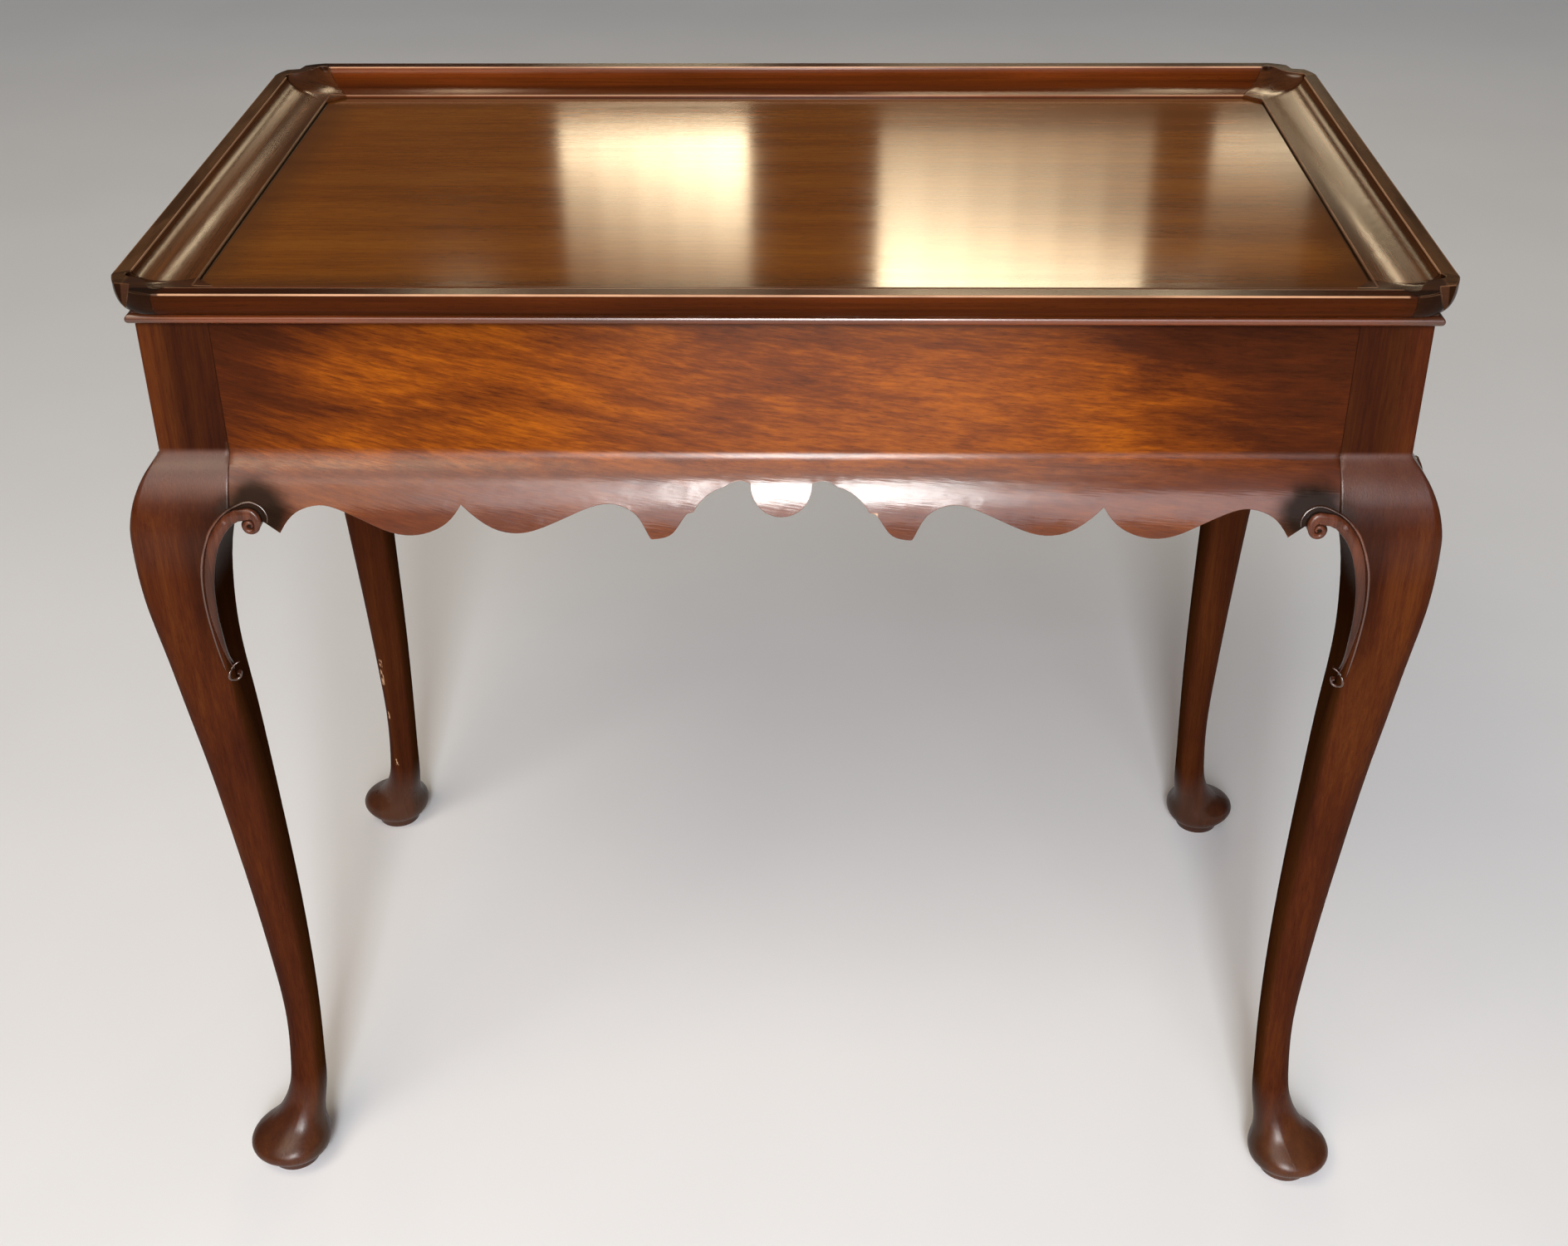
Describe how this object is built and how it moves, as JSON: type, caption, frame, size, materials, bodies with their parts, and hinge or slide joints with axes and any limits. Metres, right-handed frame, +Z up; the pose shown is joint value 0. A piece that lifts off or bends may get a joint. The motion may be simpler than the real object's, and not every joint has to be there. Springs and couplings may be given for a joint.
{
  "type": "tray top tea table",
  "caption": "Small rectangular tea table with a raised coved tray rim, plain frieze, flared scalloped skirt with carved volutes, and cabriole legs on pad feet.",
  "frame": {"origin": "floor level, under the centre of the table", "axes": "+X along the length of the tray, -Y is the front, +Z up"},
  "size_m": [0.7804, 0.4684, 0.68],
  "materials": {
    "mahogany_legs": "deep red-brown stain under semi-gloss lacquer",
    "mahogany_frieze": "figured mahogany, red-brown with orange streaks, semi-gloss lacquer",
    "mahogany_moulding": "dark red-brown stain under semi-gloss lacquer, worn on the arrises",
    "mahogany_board": "straight-grained dark brown, glossy lacquer",
    "secondary_wood": "bare planed poplar",
    "screw_steel": "dull plain steel"
  },
  "bodies": {
    "root": {"leg_front_left": "mahogany_legs", "leg_front_right": "mahogany_legs", "leg_back_left": "mahogany_legs", "leg_back_right": "mahogany_legs", "rail_front": "mahogany_frieze", "rail_back": "mahogany_frieze", "rail_left": "mahogany_frieze", "rail_right": "mahogany_frieze", "bead_front": "mahogany_moulding", "bead_back": "mahogany_moulding", "bead_left": "mahogany_moulding", "bead_right": "mahogany_moulding", "rim_front": "mahogany_moulding", "rim_back": "mahogany_moulding", "rim_left": "mahogany_moulding", "rim_right": "mahogany_moulding", "rim_corner_front_left": "mahogany_moulding", "rim_corner_front_right": "mahogany_moulding", "rim_corner_back_left": "mahogany_moulding", "rim_corner_back_right": "mahogany_moulding", "tray_board": "mahogany_board", "ledger_front": "secondary_wood", "ledger_back": "secondary_wood", "ledger_left": "secondary_wood", "ledger_right": "secondary_wood", "corner_block_front_left": "secondary_wood", "corner_block_front_right": "secondary_wood", "corner_block_back_left": "secondary_wood", "corner_block_back_right": "secondary_wood", "corner_block_screws": "screw_steel", "ledger_screws": "screw_steel", "board_screws": "screw_steel"}
  },
  "joints": []
}
